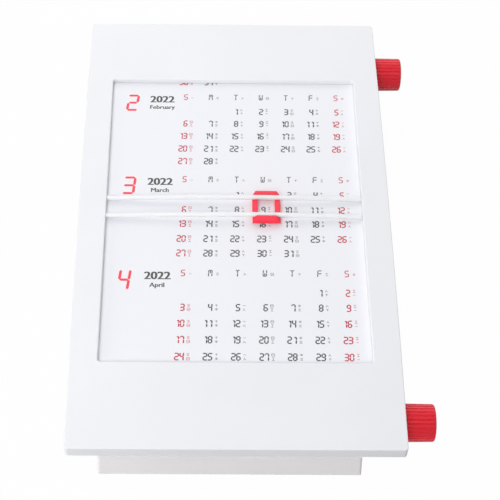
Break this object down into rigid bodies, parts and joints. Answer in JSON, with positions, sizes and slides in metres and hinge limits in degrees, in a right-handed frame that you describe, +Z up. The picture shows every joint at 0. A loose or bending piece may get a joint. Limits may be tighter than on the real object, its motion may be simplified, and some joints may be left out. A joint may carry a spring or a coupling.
{
  "type": "desk calendar with drawer",
  "caption": "Flat roller desk calendar: paper strip wound by two side knobs under a sunk window, sliding red date marker on arched rods, shallow drawer below.",
  "frame": {"origin": "on the surface the feet stand on, under the middle of the outline in X and Y", "axes": "+Z up, +X towards the side with the knobs, +Y towards the back; the drawer opens along -Y"},
  "size_m": [0.1202, 0.185, 0.0328],
  "materials": {
    "white_shell": "fine satin moulded ABS",
    "white_drawer": "fine satin moulded ABS",
    "white_rod": "smooth white acetal rod",
    "red_marker": "smooth red moulded plastic",
    "red_knob": "red moulded plastic with fine ribs",
    "printed_paper": "smooth white coated paper, printed in red and dark grey",
    "grey_nylon": "natural nylon",
    "felt": "pressed felt",
    "screw_steel": "zinc-plated steel",
    "foot_rubber": "matt rubber"
  },
  "bodies": {
    "base": {"top_frame": "white_shell", "roller_housing": "white_shell", "drawer_casing": "white_shell", "paper_bed": "white_shell", "upper_rail": "white_rod", "lower_rail": "white_rod", "calendar_strip": "printed_paper", "upper_knob_bush": "grey_nylon", "upper_end_bush": "grey_nylon", "lower_knob_bush": "grey_nylon", "lower_end_bush": "grey_nylon", "upper_friction_washer": "felt", "lower_friction_washer": "felt", "frame_screws": "screw_steel", "casing_screws": "screw_steel", "feet": "foot_rubber"},
    "drawer_body": {"drawer": "white_drawer"},
    "marker_body": {"date_marker": "red_marker"},
    "upper_roller_body": {"upper_roller": "grey_nylon", "upper_paper_roll": "printed_paper", "upper_knob": "red_knob", "upper_clip": "screw_steel"},
    "lower_roller_body": {"lower_roller": "grey_nylon", "lower_paper_roll": "printed_paper", "lower_knob": "red_knob", "lower_clip": "screw_steel"}
  },
  "joints": [
    {"name": "drawer_slide", "type": "slide", "parent": "base", "child": "drawer_body", "axis": [0, -1, 0], "range_m": [0, 0.112]},
    {"name": "marker_travel", "type": "hinge", "parent": "base", "child": "marker_body", "pos_m": [-0.0051, 0.00365, -0.90142], "axis": [0, 1, 0], "range_deg": [-3.12, 1.72]},
    {"name": "lower_roller_turn", "type": "hinge", "parent": "base", "child": "lower_roller_body", "pos_m": [-0.0051, -0.07675, 0.0207], "axis": [-1, 0, 0], "continuous": true},
    {"name": "upper_roller_turn", "type": "hinge", "parent": "base", "child": "upper_roller_body", "pos_m": [-0.0051, 0.07675, 0.0207], "axis": [-1, 0, 0], "continuous": true}
  ],
  "couplings": [
    {"joint": "upper_roller_turn", "follows": "lower_roller_turn", "ratio": 1.1781}
  ]
}
